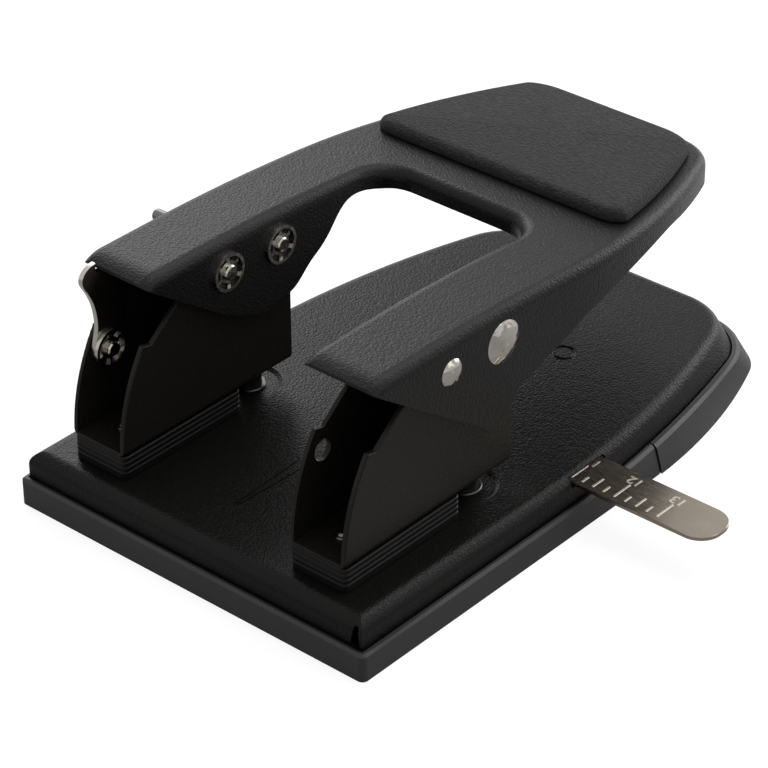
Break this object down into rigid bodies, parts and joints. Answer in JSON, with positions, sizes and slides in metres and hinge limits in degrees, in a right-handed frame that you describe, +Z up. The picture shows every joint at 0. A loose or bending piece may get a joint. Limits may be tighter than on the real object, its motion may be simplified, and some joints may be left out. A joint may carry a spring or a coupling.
{
  "type": "two-hole paper punch",
  "caption": "Desk paper punch: wide padded lever on sheet-metal towers with sprung punches, over a pressed base with chip tray and sliding paper guide.",
  "frame": {"origin": "on the resting surface under the middle of the line that joins the two punched holes", "axes": "+X to the right along the line of the two holes, +Y back towards the palm pad, +Z up"},
  "size_m": [0.1477, 0.1723, 0.0673],
  "materials": {
    "black_paint": "black leather-grain paint",
    "spacer_black": "black paint",
    "tray_black": "matte black moulding",
    "foam_pad": "black foam rubber with a fine grain",
    "bracket_black": "glossy black paint",
    "nickel": "bright nickel plate",
    "punch_steel": "ground steel",
    "spring_wire": "spring wire",
    "rule_nickel": "satin nickel plate"
  },
  "bodies": {
    "base": {"base_plate": "black_paint", "chip_tray": "tray_black", "left_bracket": "bracket_black", "left_foot_plate": "spacer_black", "left_spacer_1": "spacer_black", "left_spacer_2": "spacer_black", "left_spacer_3": "spacer_black", "left_die": "punch_steel", "left_punch_guide": "bracket_black", "right_bracket": "bracket_black", "right_foot_plate": "spacer_black", "right_spacer_1": "spacer_black", "right_spacer_2": "spacer_black", "right_spacer_3": "spacer_black", "right_die": "punch_steel", "right_punch_guide": "bracket_black", "bracket_rivets": "nickel", "rivet_washers": "nickel", "latch_pin": "nickel", "latch_retainer": "nickel", "ruler_guide": "nickel"},
    "lever": {"lever": "black_paint", "palm_pad": "foam_pad", "left_pivot_pin": "nickel", "left_drive_pin": "nickel", "right_pivot_pin": "nickel", "right_drive_pin": "nickel", "pin_retainers": "nickel", "arm_stud": "nickel"},
    "left_punch": {"left_punch": "punch_steel", "left_punch_collar": "punch_steel", "left_return_spring": "spring_wire"},
    "right_punch": {"right_punch": "punch_steel", "right_punch_collar": "punch_steel", "right_return_spring": "spring_wire"},
    "latch": {"latch": "nickel"},
    "paper_guide": {"paper_guide": "rule_nickel"},
    "tray_flap": {"tray_flap": "tray_black"}
  },
  "joints": [
    {"name": "lever_tilt", "type": "hinge", "parent": "base", "child": "lever", "pos_m": [0, -0.017, 0.0582], "axis": [1, 0, 0], "range_deg": [0, 28]},
    {"name": "latch_swing", "type": "hinge", "parent": "base", "child": "latch", "pos_m": [-0.04103, -0.041, 0.0419], "axis": [1, 0, 0], "range_deg": [0, 98]},
    {"name": "left_punch_stroke", "type": "slide", "parent": "base", "child": "left_punch", "axis": [0, 0, 1], "range_m": [0, 0.0084], "deforming": ["left_return_spring"]},
    {"name": "right_punch_stroke", "type": "slide", "parent": "base", "child": "right_punch", "axis": [0, 0, 1], "range_m": [0, 0.0084], "deforming": ["right_return_spring"]},
    {"name": "paper_guide_slide", "type": "slide", "parent": "base", "child": "paper_guide", "axis": [1, 0, 0], "range_m": [-0.034, 0.02]},
    {"name": "tray_flap_hinge", "type": "hinge", "parent": "base", "child": "tray_flap", "pos_m": [0, 0.0513, 0], "axis": [-1, 0, 0], "range_deg": [0, 60]}
  ],
  "couplings": [
    {"joint": "latch_swing", "follows": "lever_tilt", "ratio": 3.5},
    {"joint": "left_punch_stroke", "follows": "lever_tilt", "m_per_rad": 0.017},
    {"joint": "right_punch_stroke", "follows": "lever_tilt", "m_per_rad": 0.017}
  ]
}
